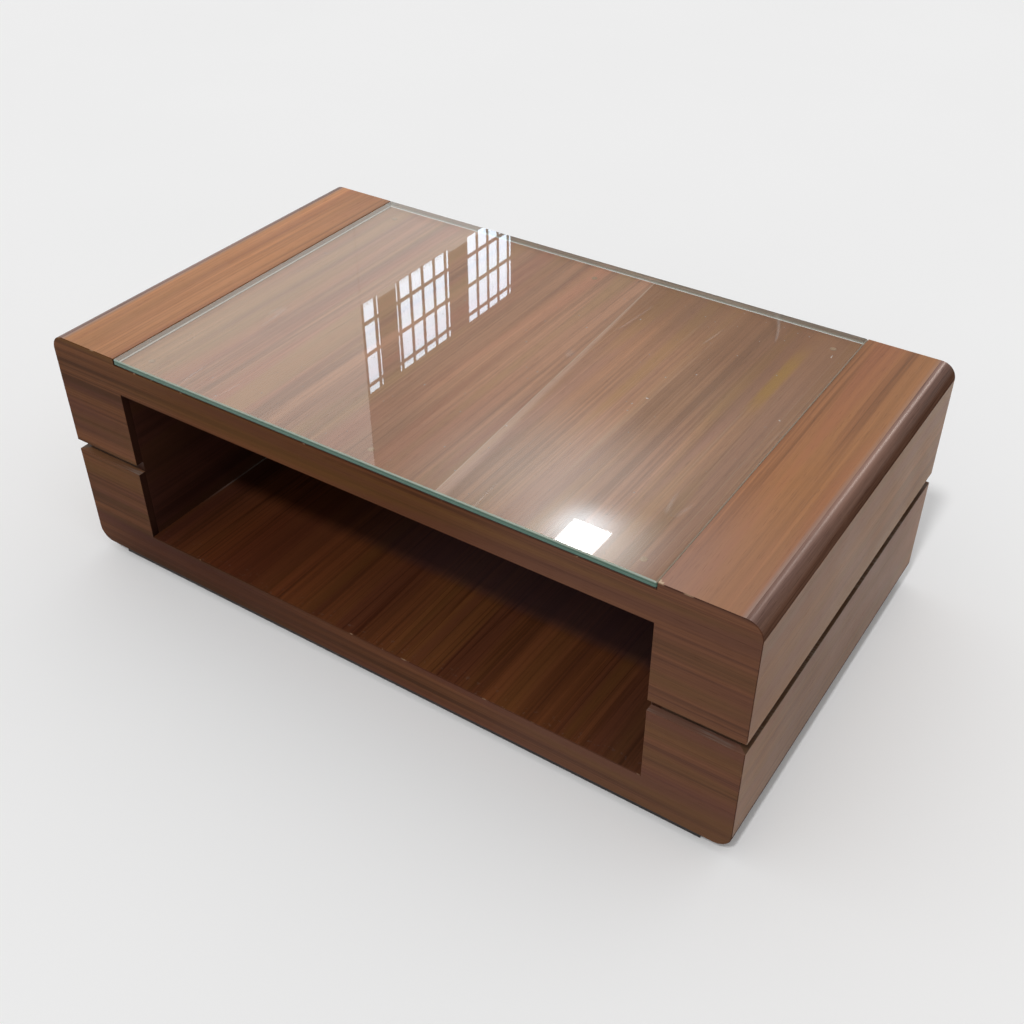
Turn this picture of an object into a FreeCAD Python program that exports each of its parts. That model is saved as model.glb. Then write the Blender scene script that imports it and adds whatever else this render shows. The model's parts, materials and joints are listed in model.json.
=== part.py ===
import FreeCAD
import Part
import math
import os

# Low display table. Two hollow end towers are joined by a bottom slab and a top slab, which leave an open
# compartment between them, and the whole carcass stands on a recessed plinth. A loose glass pane lies on
# the top slab, between the raised strips of the two towers.
# Lengths are in millimetres. X runs along the table from left to right, Y from its front to its back, and
# Z upwards. The origin is on the floor, below the middle of the table.

# Overall sizes, and the heights of the carcass from the floor upwards
length = 1200.0
depth = 675.0
plinth_height = 20.0
base_height = 60.0
opening_height = 278.0
top_height = 65.0

# End towers: boards behind, facings in front, and a shadow gap between the upper and lower facings
tower_width = 138.0
corner_radius = 25.0
facing_thickness = 13.0
groove_height = 19.0
groove_rise = 187.0
cheek_thickness = 15.0
end_core_thickness = 12.0
stile_thickness = 15.0
arris = 1.0

# Slabs: two skins on battens
deck_thickness = 15.0
ceiling_thickness = 12.0
shelf_thickness = 15.0
bottom_thickness = 15.0
batten_width = 30.0
batten_count = 5
back_panel_thickness = 9.0

# Glass pane, and the clear bumpers that it lies on
glass_thickness = 10.0
glass_side_gap = 1.0
glass_corner_radius = 3.0
glass_arris = 1.5
bumper_diameter = 10.0
bumper_thickness = 1.0
bumper_inset = 40.0

# Plinth, and the glides that it stands on
plinth_end_inset = 47.0
plinth_face_inset = 10.0
plinth_rail_width = 45.0
glide_diameter = 22.0
glide_thickness = 2.0

# Dowels between the slabs and the towers
dowel_diameter = 8.0
dowel_length = 36.0
dowel_chamfer = 0.8
dowel_clearance = 0.1
dowel_place_shares = (-0.7, 0.0, 0.7)

# Countersunk screws between the plinth and the carcass
screw_diameter = 4.0
screw_length = 28.0
screw_head_diameter = 8.0
screw_head_height = 2.4
screw_slot_width = 1.2
screw_slot_depth = 1.2
screw_clearance = 0.1
long_rail_screw_shares = (-0.7, -0.25, 0.25, 0.7)
short_rail_screw_shares = (-0.6, 0.6)

# How far a cutter runs past what it cuts
overrun = 2.0

# Where the middle of a quarter circle lies, as a share of its radius
quarter_middle_share = math.sqrt(0.5)

# Levels
shelf_z = plinth_height + base_height
ceiling_z = shelf_z + opening_height
top_z = ceiling_z + top_height
glass_z = top_z - glass_thickness
deck_z = glass_z - bumper_thickness
cap_z = top_z - corner_radius
foot_z = plinth_height + corner_radius
groove_low_z = plinth_height + groove_rise
groove_high_z = groove_low_z + groove_height
base_core_z = plinth_height + bottom_thickness
shelf_under_z = shelf_z - shelf_thickness
top_core_z = ceiling_z + ceiling_thickness
deck_under_z = deck_z - deck_thickness

# Distances from the middle, along X
half_length = length / 2
tower_x = half_length - tower_width
cheek_x = tower_x + cheek_thickness
round_x = half_length - corner_radius
core_x = half_length - facing_thickness
core_inner_x = core_x - end_core_thickness
plinth_x = half_length - plinth_end_inset
plinth_inner_x = plinth_x - plinth_rail_width

# Distances from the middle, along Y
half_depth = depth / 2
rim_y = half_depth - arris
face_y = half_depth - facing_thickness
plinth_y = half_depth - plinth_face_inset
plinth_inner_y = plinth_y - plinth_rail_width

# Which way a side or a face lies from the middle, and the outer level and groove level of each facing
sides = {"left": -1, "right": 1}
faces = {"front": -1, "back": 1}
facing_levels = {"upper": (top_z, groove_high_z), "lower": (plinth_height, groove_low_z)}

x_axis = FreeCAD.Vector(1, 0, 0)
y_axis = FreeCAD.Vector(0, 1, 0)
z_axis = FreeCAD.Vector(0, 0, 1)


def board(x_ends, y_ends, z_ends):
    """Square-edged board between two ends along each axis, given in either order."""
    low = FreeCAD.Vector(min(x_ends), min(y_ends), min(z_ends))
    high = FreeCAD.Vector(max(x_ends), max(y_ends), max(z_ends))
    size = high - low
    return Part.makeBox(size.x, size.y, size.z, low)


def cut_all(solid, cutters):
    """Solid less every cutter."""
    for cutter in cutters:
        solid = solid.cut(cutter)
    return solid


def prism(points, path):
    """Straight solid with a flat outline of points, drawn along path."""
    outline = Part.makePolygon(points + points[:1])
    return Part.Face(outline).extrude(path)


def facing_outline(side, y, outer_z, groove_z, inset):
    """Outline of a tower facing at the depth y, with its outer edges drawn in by inset."""
    up = math.copysign(1, outer_z - groove_z)
    centre_z = outer_z - up * corner_radius
    radius = corner_radius - inset
    middle = radius * quarter_middle_share
    edge_x = half_length - inset
    edge_z = outer_z - up * inset
    inner_groove = FreeCAD.Vector(side * tower_x, y, groove_z)
    outer_groove = FreeCAD.Vector(side * edge_x, y, groove_z)
    round_start = FreeCAD.Vector(side * edge_x, y, centre_z)
    round_middle = FreeCAD.Vector(side * (round_x + middle), y, centre_z + up * middle)
    round_end = FreeCAD.Vector(side * round_x, y, edge_z)
    inner_edge = FreeCAD.Vector(side * tower_x, y, edge_z)
    return Part.Wire([
        Part.makeLine(inner_groove, outer_groove),
        Part.makeLine(outer_groove, round_start),
        Part.Arc(round_start, round_middle, round_end).toShape(),
        Part.makeLine(round_end, inner_edge),
        Part.makeLine(inner_edge, inner_groove),
    ])


def tower_facing(side, face, outer_z, groove_z):
    """Front or back facing of a tower: an eased rim, then a mitre along its outer edges."""
    eased = facing_outline(side, face * half_depth, outer_z, groove_z, arris)
    rim = facing_outline(side, face * rim_y, outer_z, groove_z, 0)
    mitred = facing_outline(side, face * face_y, outer_z, groove_z, facing_thickness)
    return Part.makeLoft([eased, rim, mitred], True, True)


def slab_rail(face, low_z, high_z):
    """Edge rail of a slab between the towers: eased edges, and a mitre along its top."""
    outer = face * half_depth
    rim = face * rim_y
    inner = face * face_y
    profile = [
        (outer, low_z + arris),
        (outer, high_z - arris),
        (rim, high_z),
        (inner, high_z - facing_thickness),
        (inner, low_z),
        (rim, low_z),
    ]
    points = [FreeCAD.Vector(-tower_x, y, z) for y, z in profile]
    return prism(points, x_axis * (tower_x + tower_x))


def lipping(side, flat_z, outer_z):
    """Quarter-round lipping along the outer edge of a tower, between flat_z and the outer level."""
    reach = (outer_z - flat_z) * quarter_middle_share
    heel = FreeCAD.Vector(side * round_x, -rim_y, flat_z)
    side_end = FreeCAD.Vector(side * half_length, -rim_y, flat_z)
    middle = FreeCAD.Vector(side * (round_x + abs(reach)), -rim_y, flat_z + reach)
    outer_end = FreeCAD.Vector(side * round_x, -rim_y, outer_z)
    outline = Part.Wire([
        Part.makeLine(heel, side_end),
        Part.Arc(side_end, middle, outer_end).toShape(),
        Part.makeLine(outer_end, heel),
    ])
    return Part.Face(outline).extrude(y_axis * (rim_y + rim_y))


def batten_places():
    """Middles of a slab's battens along X: the end ones lie against the towers."""
    first = batten_width / 2 - tower_x
    step = (tower_x + tower_x - batten_width) / (batten_count - 1)
    return [first + step * place for place in range(batten_count)]


def battens(low_z, high_z):
    """Battens of one slab, from its front rail to its back rail."""
    half = batten_width / 2
    return [board((x - half, x + half), (-face_y, face_y), (low_z, high_z)) for x in batten_places()]


def dowel_places():
    """Side, place along Y and level of each dowel."""
    base_level = (max(foot_z, base_core_z) + shelf_under_z) / 2
    top_level = (top_core_z + min(cap_z, deck_under_z)) / 2
    places = []
    for side in sides.values():
        for share in dowel_place_shares:
            for level in (base_level, top_level):
                places.append((side, share * face_y, level))
    return places


def dowel(side, y, z):
    """Beech dowel that runs through a cheek into the end batten of a slab."""
    outer_end = FreeCAD.Vector(side * cheek_x, y, z)
    peg = Part.makeCylinder(dowel_diameter / 2, dowel_length, outer_end, x_axis * -side)
    rims = [edge for edge in peg.Edges if isinstance(edge.Curve, Part.Circle)]
    return peg.makeChamfer(dowel_chamfer, rims)


def dowel_bore(side, y, z):
    """Hole for one dowel, open at the outer face of the cheek."""
    start = FreeCAD.Vector(side * (cheek_x + overrun), y, z)
    radius = dowel_diameter / 2 + dowel_clearance
    return Part.makeCylinder(radius, overrun + dowel_length + dowel_clearance, start, x_axis * -side)


def screw_places():
    """Place along X and Y of each plinth screw."""
    rail_x = plinth_x - plinth_rail_width / 2
    rail_y = plinth_y - plinth_rail_width / 2
    places = []
    for face in faces.values():
        for share in long_rail_screw_shares:
            places.append((share * plinth_x, face * rail_y))
    for x in (-rail_x, 0, rail_x):
        for share in short_rail_screw_shares:
            places.append((x, share * plinth_inner_y))
    return places


def screw_blank(x, y, clearance):
    """Countersunk screw without its slot, with its head flush with the plinth's underside."""
    start = FreeCAD.Vector(x, y, glide_thickness)
    neck = FreeCAD.Vector(x, y, glide_thickness + screw_head_height)
    shank_radius = screw_diameter / 2 + clearance
    head_radius = screw_head_diameter / 2 + clearance
    head = Part.makeCone(head_radius, shank_radius, screw_head_height, start, z_axis)
    shank = Part.makeCylinder(shank_radius, screw_length - screw_head_height + clearance, neck, z_axis)
    return head.fuse(shank)


def screw(x, y):
    """Countersunk screw with a cross slot."""
    reach = screw_head_diameter / 2 - screw_slot_depth
    half_slot = screw_slot_width / 2
    slot_z = (glide_thickness - overrun, glide_thickness + screw_slot_depth)
    along_x = board((x - reach, x + reach), (y - half_slot, y + half_slot), slot_z)
    along_y = board((x - half_slot, x + half_slot), (y - reach, y + reach), slot_z)
    return screw_blank(x, y, 0).cut(along_x.fuse(along_y))


def discs(places, diameter, thickness, z):
    """Equal flat discs on one level."""
    return [
        Part.makeCylinder(diameter / 2, thickness, FreeCAD.Vector(x, y, z), z_axis)
        for x, y in places
    ]


def six_places(x, y):
    """Four corners and the middles of the two long sides of a rectangle."""
    return [(across * x, face * y) for face in faces.values() for across in (-1, 0, 1)]


def glass_pane():
    """Toughened pane with polished arrises and slightly dubbed corners."""
    pane_x = tower_x - glass_side_gap
    pane = board((-pane_x, pane_x), (-half_depth, half_depth), (glass_z, top_z))
    uprights = [edge for edge in pane.Edges if abs(edge.tangentAt(edge.FirstParameter).z) > 0]
    pane = pane.makeFillet(glass_corner_radius, uprights)
    outlines = [edge for edge in pane.Edges if edge.BoundBox.ZLength < glass_arris]
    return pane.makeChamfer(glass_arris, outlines)


def tower(name, side, dowel_bores, screw_bores):
    """Boards, facings and lippings of one end tower, by node name."""
    rim = (-rim_y, rim_y)
    inside = (-face_y, face_y)
    upright = (foot_z, cap_z)
    pieces = {}
    facings = []
    for face_name, face in faces.items():
        for level, (outer_z, groove_z) in facing_levels.items():
            facing = tower_facing(side, face, outer_z, groove_z)
            facings.append(facing)
            pieces[f"{name}_{level}_{face_name}_facing"] = facing
        stile_y = (face * face_y, face * (face_y - stile_thickness))
        stile = board((side * cheek_x, side * core_inner_x), stile_y, upright)
        pieces[f"{name}_{face_name}_stile"] = stile

    strip_x = (side * tower_x, side * round_x)
    end_x = (side * core_x, side * half_length)
    base_strip = board(strip_x, rim, (plinth_height, foot_z))
    mitred = {
        "top_strip": board(strip_x, rim, (cap_z, top_z)),
        "top_lipping": lipping(side, cap_z, top_z),
        "base_strip": cut_all(base_strip, screw_bores),
        "base_lipping": lipping(side, foot_z, plinth_height),
        "upper_end_facing": board(end_x, rim, (groove_high_z, cap_z)),
        "lower_end_facing": board(end_x, rim, (foot_z, groove_low_z)),
    }
    for piece, solid in mitred.items():
        pieces[f"{name}_{piece}"] = cut_all(solid, facings)

    cheek = board((side * tower_x, side * cheek_x), inside, upright)
    pieces[f"{name}_cheek"] = cut_all(cheek, dowel_bores)
    pieces[f"{name}_end_core"] = board((side * core_inner_x, side * core_x), inside, upright)
    return pieces


def slabs(dowel_bores, screw_bores):
    """Skins, rails and battens of the two slabs, and the back panel, by node name."""
    between = (-tower_x, tower_x)
    rim = (-rim_y, rim_y)
    inside = (-face_y, face_y)
    pieces = {}
    for name, face in faces.items():
        pieces[f"top_{name}_rail"] = slab_rail(face, ceiling_z, deck_z)
        pieces[f"base_{name}_rail"] = slab_rail(face, plinth_height, shelf_z)
    top_rails = [pieces["top_front_rail"], pieces["top_back_rail"]]
    base_rails = [pieces["base_front_rail"], pieces["base_back_rail"]]

    deck = board(between, rim, (deck_under_z, deck_z))
    shelf = board(between, rim, (shelf_under_z, shelf_z))
    bottom = board(between, inside, (plinth_height, base_core_z))
    back_y = (face_y - back_panel_thickness, face_y)
    top_core = [cut_all(batten, dowel_bores) for batten in battens(top_core_z, deck_under_z)]
    base_core = [cut_all(batten, dowel_bores) for batten in battens(base_core_z, shelf_under_z)]
    pieces["top_deck"] = cut_all(deck, top_rails)
    pieces["shelf_panel"] = cut_all(shelf, base_rails)
    pieces["ceiling_panel"] = board(between, inside, (ceiling_z, top_core_z))
    pieces["bottom_panel"] = cut_all(bottom, screw_bores)
    pieces["back_panel"] = board(between, back_y, (shelf_z, ceiling_z))
    pieces["top_core_battens"] = Part.makeCompound(top_core)
    pieces["base_core_battens"] = Part.makeCompound(base_core)
    return pieces


def plinth(screw_bores):
    """Rails of the plinth frame, by node name."""
    height = (glide_thickness, plinth_height)
    half_rail = plinth_rail_width / 2
    inside = (-plinth_inner_y, plinth_inner_y)
    rails = {"plinth_middle_rail": board((-half_rail, half_rail), inside, height)}
    for name, face in faces.items():
        rail_y = (face * plinth_y, face * plinth_inner_y)
        rails[f"plinth_{name}_rail"] = board((-plinth_x, plinth_x), rail_y, height)
    for name, side in sides.items():
        rail_x = (side * plinth_inner_x, side * plinth_x)
        rails[f"plinth_{name}_rail"] = board(rail_x, inside, height)
    return {name: cut_all(rail, screw_bores) for name, rail in rails.items()}


def table():
    """Every piece of the table, by node name."""
    dowel_bores = [dowel_bore(*place) for place in dowel_places()]
    screw_bores = [screw_blank(x, y, screw_clearance) for x, y in screw_places()]
    pieces = slabs(dowel_bores, screw_bores)
    for name, side in sides.items():
        pieces.update(tower(name, side, dowel_bores, screw_bores))
    pieces.update(plinth(screw_bores))

    bumper_places = six_places(tower_x - bumper_inset, half_depth - bumper_inset)
    glide_places = six_places(plinth_x - plinth_rail_width / 2, plinth_y - plinth_rail_width / 2)
    bumpers = discs(bumper_places, bumper_diameter, bumper_thickness, deck_z)
    glides = discs(glide_places, glide_diameter, glide_thickness, 0)
    pieces["glass_pane"] = glass_pane()
    pieces["glass_bumpers"] = Part.makeCompound(bumpers)
    pieces["floor_glides"] = Part.makeCompound(glides)
    pieces["joint_dowels"] = Part.makeCompound([dowel(*place) for place in dowel_places()])
    pieces["plinth_screws"] = Part.makeCompound([screw(x, y) for x, y in screw_places()])
    return pieces


os.makedirs("parts", exist_ok=True)
for node, shape in sorted(table().items()):
    shape.exportStep(os.path.join("parts", f"{node}.step"))
    litres = FreeCAD.Units.Quantity(shape.Volume, FreeCAD.Units.Volume).getValueAs("l").Value
    print(f"{node}: {len(shape.Solids)} solids, {litres:.4f} litres, valid {shape.isValid()}")
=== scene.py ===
# %% [markdown]
# # A low display table with a loose glass top
# The real table is a veneered box. Two hollow end towers are joined by a bottom slab and a top slab, which
# leave an open compartment between them. A clear pane lies loose in the step of the top slab, and a dark
# plinth lifts everything off the floor. The boards come in as finished solids at their true size, so this
# lesson is about their surfaces, and it remakes only the pieces whose round shapes need more than a solid's
# flat facets.

# %% Load the solids
import json
import math
from functools import partialmethod

import bmesh
import bpy
from mathutils import Matrix, Vector


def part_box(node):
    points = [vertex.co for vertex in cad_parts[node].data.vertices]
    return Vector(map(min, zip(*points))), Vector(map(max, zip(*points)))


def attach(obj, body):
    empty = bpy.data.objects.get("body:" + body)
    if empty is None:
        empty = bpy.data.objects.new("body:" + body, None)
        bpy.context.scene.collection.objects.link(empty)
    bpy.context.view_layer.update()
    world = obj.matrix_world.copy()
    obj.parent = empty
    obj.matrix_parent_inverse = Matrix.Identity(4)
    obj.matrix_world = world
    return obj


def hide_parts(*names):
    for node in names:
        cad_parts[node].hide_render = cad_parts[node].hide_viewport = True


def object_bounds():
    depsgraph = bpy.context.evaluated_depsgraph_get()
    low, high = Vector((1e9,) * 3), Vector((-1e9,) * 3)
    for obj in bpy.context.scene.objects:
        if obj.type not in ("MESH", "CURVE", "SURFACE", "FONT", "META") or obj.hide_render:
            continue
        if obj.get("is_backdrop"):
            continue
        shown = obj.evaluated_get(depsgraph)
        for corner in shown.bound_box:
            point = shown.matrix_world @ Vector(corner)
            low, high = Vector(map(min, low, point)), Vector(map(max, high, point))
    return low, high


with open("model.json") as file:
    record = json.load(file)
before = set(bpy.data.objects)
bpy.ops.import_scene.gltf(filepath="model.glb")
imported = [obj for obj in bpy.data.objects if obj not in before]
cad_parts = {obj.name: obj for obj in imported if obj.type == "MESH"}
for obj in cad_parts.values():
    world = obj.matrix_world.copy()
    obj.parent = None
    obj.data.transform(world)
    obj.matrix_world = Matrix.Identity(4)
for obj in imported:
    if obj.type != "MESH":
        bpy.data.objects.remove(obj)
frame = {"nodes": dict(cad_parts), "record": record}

cad_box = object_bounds()
scene = bpy.context.scene
scene.view_settings.view_transform = "Standard"

# %% [markdown]
# ## Sizes from the solids
# A finish that follows the joinery has to know where the joints are. The places could be typed in again,
# but two copies of a size drift apart sooner or later, so every joint here is measured on the solids.

# %% Measure the joinery
strip_low, strip_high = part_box("right_top_strip")
lipping_low, lipping_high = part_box("right_top_lipping")
groove_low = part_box("right_lower_end_facing")[1].z
groove_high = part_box("right_upper_end_facing")[0].z
plinth_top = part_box("plinth_front_rail")[1].z
shelf_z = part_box("shelf_panel")[1].z

tower_x = strip_low.x
round_x = strip_high.x
end_x = lipping_high.x
rim_y = lipping_high.y
face_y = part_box("right_cheek")[1].y
cap_z = lipping_low.z
foot_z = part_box("right_base_lipping")[1].z
corner_radius = end_x - round_x
facing_thickness = end_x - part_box("right_upper_end_facing")[0].x
print(f"Corner radius {corner_radius * 1000:.1f} mm, facing {facing_thickness * 1000:.1f} mm thick")

# %% [markdown]
# ## Node trees in Python
# A finish in Blender is a tree of nodes. Long trees are hard to read as lists of links, so two small
# classes let them be written as arithmetic. `Value` wraps one socket, and adding, multiplying or comparing
# it adds a Math node. `Graph` adds every other kind of node in one way: its settings first, then its
# sockets. The same pair writes shader trees and Geometry Nodes trees.

# %% Values
class Value:
    """One socket of a node tree, on which arithmetic adds Math nodes."""

    def __init__(self, graph, socket):
        self.graph = graph
        self.socket = socket

    def math(self, operation, *others):
        """Math node on this value and others."""
        return self.graph.node("ShaderNodeMath", {"operation": operation}, dict(enumerate((self, *others))))

    def reflected(self, operation, other):
        """Math node whose first term is a plain number."""
        return self.graph.node("ShaderNodeMath", {"operation": operation}, {0: other, 1: self})

    __add__, __radd__ = partialmethod(math, "ADD"), partialmethod(reflected, "ADD")
    __sub__, __rsub__ = partialmethod(math, "SUBTRACT"), partialmethod(reflected, "SUBTRACT")
    __mul__, __rmul__ = partialmethod(math, "MULTIPLY"), partialmethod(reflected, "MULTIPLY")
    __truediv__, __rtruediv__ = partialmethod(math, "DIVIDE"), partialmethod(reflected, "DIVIDE")
    __gt__ = partialmethod(math, "GREATER_THAN")
    __abs__ = partialmethod(math, "ABSOLUTE")

    def rise(self, low, high):
        """0 below low, 1 above high, and a smooth step between them."""
        ends = {"Value": self, "From Min": low, "From Max": high}
        return self.graph.node("ShaderNodeMapRange", {"interpolation_type": "SMOOTHSTEP"}, ends)

    def fall(self, low, high):
        """1 below low, 0 above high."""
        return 1 - self.rise(low, high)


print("Value class ready")

# %% Graphs
class Graph:
    """A node tree with one way to add a node."""

    def __init__(self, tree):
        self.tree = tree

    def node(self, kind, settings=None, sockets=None, output=0):
        """Add a node: settings first, then sockets. Hands back one output, or all of them for None."""
        made = self.tree.nodes.new(kind)
        for name, setting in (settings or {}).items():
            if name == "stops":
                set_stops(made.color_ramp, setting)
            elif name == "profile":
                set_profile(made.mapping, setting)
            else:
                setattr(made, name, setting)
        for name, value in (sockets or {}).items():
            if isinstance(value, Value):
                self.tree.links.new(value.socket, made.inputs[name])
            else:
                made.inputs[name].default_value = value
        if output is None:
            return [Value(self, socket) for socket in made.outputs]
        return Value(self, made.outputs[output])

    def split(self, vector):
        """The three numbers of a vector."""
        return self.node("ShaderNodeSeparateXYZ", sockets={"Vector": vector}, output=None)


def set_stops(ramp, stops):
    """Give a colour ramp these (place, colour) stops, in rising order."""
    for place, _ in stops[len(ramp.elements):]:
        ramp.elements.new(place)
    for element, (place, colour) in zip(ramp.elements, stops):
        element.position = place
        element.color = (*colour, 1.0)


def set_profile(mapping, points):
    """Give a float curve these (place, height) points, joined by straight lines."""
    curve = mapping.curves[0]
    for place, height in points[len(curve.points):]:
        curve.points.new(place, height)
    for point, (place, height) in zip(curve.points, points):
        point.location = (place, height)
        point.handle_type = "VECTOR"
    mapping.update()


print("Graph class ready")

# %% [markdown]
# ## The shared parts of every finish
# Every finish reads Object coordinates, which are metres in the table's own frame, so grain runs on from
# one board to the next as in one sheet of veneer. A Wave texture could draw wood fibre, but its lines are
# too even. Noise that is fine across the grain and drawn out along it looks grown: a mapping with unequal
# scales turns round blobs into streaks.

# %% Finish helpers
MIX_FACTOR, MIX_A, MIX_B, MIX_RESULT = 0, 6, 7, 2
finishes = {}


class Finish(Graph):
    """A material's node tree, with the few patterns that its surfaces share."""

    def __init__(self, name):
        self.name = name
        self.material = bpy.data.materials.new(name)
        self.material.use_nodes = True
        super().__init__(self.material.node_tree)
        self.tree.nodes.clear()
        self.place = self.node("ShaderNodeTexCoord", output="Object")
        self.normal = self.node("ShaderNodeNewGeometry", output="Normal")

    def vector(self, operation, *terms, output=0):
        """Vector Math node."""
        return self.node("ShaderNodeVectorMath", {"operation": operation}, dict(enumerate(terms)), output)

    def noise(self, scales, seed, detail=2.0, distortion=0.0, output="Fac"):
        """Noise with its own number of features per metre along X, Y and Z."""
        moved = {"Vector": self.place, "Location": (seed, seed * 1.7, seed * 2.3), "Scale": scales}
        spread = self.node("ShaderNodeMapping", sockets=moved)
        settings = {"Vector": spread, "Scale": 1.0, "Detail": detail, "Distortion": distortion}
        return self.node("ShaderNodeTexNoise", sockets=settings, output=output)

    def fibres(self, along, across, draw, seed, detail=2.0, distortion=0.0):
        """Noise with so many features per metre across the grain, drawn out along one axis."""
        scales = [across * draw if axis == along else across for axis in "XYZ"]
        return self.noise(scales, seed, detail, distortion)

    def even(self, per_metre, seed, detail=2.0):
        """Noise without a direction."""
        return self.noise((per_metre,) * 3, seed, detail)

    def ramp(self, value, stops):
        """Colour ramp over a value."""
        return self.node("ShaderNodeValToRGB", {"stops": stops}, {"Fac": value})

    def tones(self, value, spread, dark, pale):
        """Colour from dark to pale, as a value passes from a spread below the middle to one above it."""
        return self.ramp(value, [(0.5 - spread, dark), (0.5 + spread, pale)])

    def mix(self, factor, first, second, blend="MIX"):
        """Colour between two colours."""
        colours = [colour if isinstance(colour, Value) else (*colour, 1.0) for colour in (first, second)]
        sockets = {MIX_FACTOR: factor, MIX_A: colours[0], MIX_B: colours[1]}
        return self.node("ShaderNodeMix", {"data_type": "RGBA", "blend_type": blend}, sockets, MIX_RESULT)

    def shade(self, factor, colour, tone):
        """Colour multiplied by a tone, as far as the factor says. Tones above 1 lighten."""
        return self.mix(factor, colour, tone, "MULTIPLY")

    def arris(self):
        """1 on faces that lie between two axes, which on a board are its eased edges."""
        x, y, z = self.split(self.vector("ABSOLUTE", self.normal))
        return x.math("MAXIMUM", y).math("MAXIMUM", z).fall(0.8, 0.95)

    def bump(self, height, depth, strength):
        """Normal of a surface whose relief is so many metres deep."""
        sockets = {"Height": height, "Distance": depth, "Strength": strength}
        return self.node("ShaderNodeBump", sockets=sockets)

    def principled(self, **sockets):
        """Principled shader, with underscores for the spaces in its sockets' names."""
        named = {name.replace("_", " "): value for name, value in sockets.items()}
        return self.node("ShaderNodeBsdfPrincipled", sockets=named)

    def blend(self, factor, first, second):
        """Mix Shader between two shaders."""
        return self.node("ShaderNodeMixShader", sockets={"Fac": factor, 1: first, 2: second})

    def done(self, shader):
        """Send a shader to the surface and keep the material under its name."""
        self.node("ShaderNodeOutputMaterial", sockets={"Surface": shader}, output=None)
        finishes[self.name] = self.material
        print(f"Finish {self.name}: {len(self.tree.nodes)} nodes")

    def opaque(self, **sockets):
        """End with one Principled shader, for a surface that lets no light through."""
        self.done(self.principled(**sockets))


print("Finish class ready")

# %% [markdown]
# ## Veneer
# Most of the table is thin walnut-brown veneer under a satin lacquer. A photograph could be wrapped on, but
# it would stretch and repeat, so the sheet is built up as it grew. Four layers of fibre, from hand-wide
# bands to hairs, make light and dark. All read one place that sways a little, so they bend together as real
# grain does. Other bands shift the hue, and short dark pores break the surface. On eased edges the stain
# gathers in a dark line, and knocks rub it through to pale wood.

# %% Veneer
dark_stain = (0.42, 0.36, 0.34)
dust_grey = (0.23, 0.185, 0.155)
square_on = (0.85, 0.95)
satin = 0.42


class Veneer(Finish):
    """Sheet of wood under a satin lacquer, with its grain along one axis."""

    def __init__(self, name, along, seed, sway=0.007):
        super().__init__(name)
        self.along = along
        self.seed = seed
        self.board = self.place
        scales = [1.6 if axis == along else 4.0 for axis in "XYZ"]
        aside = self.noise(scales, seed, 1.0, output="Color")
        swing = self.vector("MULTIPLY_ADD", aside, (2 * sway,) * 3, (-sway,) * 3)
        self.place = self.vector("ADD", self.board, swing)
        self.bands = self.fibres(along, 16.0, 0.05, seed + 1, 1.0)
        self.streaks = self.fibres(along, 62.0, 0.014, seed + 2)
        self.threads = self.fibres(along, 210.0, 0.006, seed + 3, 1.0)
        self.hairs = self.fibres(along, 600.0, 0.005, seed + 4, 1.0)
        self.pores = self.fibres(along, 1300.0, 0.025, seed + 5, 1.0).rise(0.60, 0.70)

    def sheet(self, colour, spread, *tints):
        """Light and dark of the grain round a middle colour, with bands of other hues."""
        figure = self.bands * 0.22 + self.streaks * 0.32 + self.threads * 0.30 + self.hairs * 0.16
        shades = [tuple(channel * (1 + turn * spread) for channel in colour) for turn in (-1, 0, 1)]
        return self.tinted(self.ramp(figure, list(zip((0.41, 0.50, 0.59), shades))), *tints)

    def tinted(self, colour, *tints):
        """Bands of other hues, each given as a (hue, amount) pair."""
        for number, (hue, amount) in enumerate(tints):
            band = self.fibres(self.along, 24.0, 0.05, self.seed + 20 + number, 1.0).rise(0.46, 0.64)
            colour = self.mix(band * amount, colour, hue)
        return colour

    def veined(self, colour, amount):
        """Thin dark lines that come in clusters."""
        line = self.fibres(self.along, 46.0, 0.008, self.seed + 30)
        cluster = self.fibres(self.along, 7.0, 0.10, self.seed + 31, 1.0).rise(0.44, 0.58)
        return self.shade(abs(line - 0.5).fall(0.0, 0.022) * cluster * amount, colour, (0.34, 0.22, 0.18))

    def ledge_dust(self):
        """Broken lines of dust along the shadow gap."""
        lines = self.fibres("X", 420.0, 0.03, self.seed + 50).rise(0.44, 0.60)
        return lines * self.even(9.0, self.seed + 51).rise(0.42, 0.60)

    def worn(self, colour):
        """Dark stain line on eased edges, with pale knocks."""
        edge = self.arris()
        knocks = self.even(55.0, self.seed + 40, 3.0).rise(0.62, 0.72)
        colour = self.shade(edge * 0.75, colour, dark_stain)
        return self.mix(edge * knocks * 0.6, colour, (0.42, 0.27, 0.17))

    def lacquered(self, colour, specular):
        """End the finish under its coat of lacquer."""
        colour = self.shade(self.pores * 0.30, colour, (0.45, 0.38, 0.34))
        smudge = self.even(7.0, self.seed + 41, 3.0)
        roughness = satin + (self.hairs - 0.5) * 0.14 + (smudge - 0.5) * 0.20 + self.pores * 0.08
        relief = self.bump(self.hairs * 0.6 + self.threads * 0.4 - self.pores * 0.8, 0.0002, 0.25)
        self.opaque(Base_Color=colour, Roughness=roughness, Normal=relief, Specular_IOR_Level=specular)


print("Veneer class ready")

# %% [markdown]
# ## Ends and inside faces
# The ends of the towers are a calm taupe, paler to the back and darker below the shadow gap. The
# compartment's walls, ceiling and back have the same kind of sheet under a very dark stain, and on the wide
# back panel the grain runs lengthwise. Both could be painted on an unwrapped map, but masks on the table's
# own X, Y and Z need no unwrapping and hold on every board at once.

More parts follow.
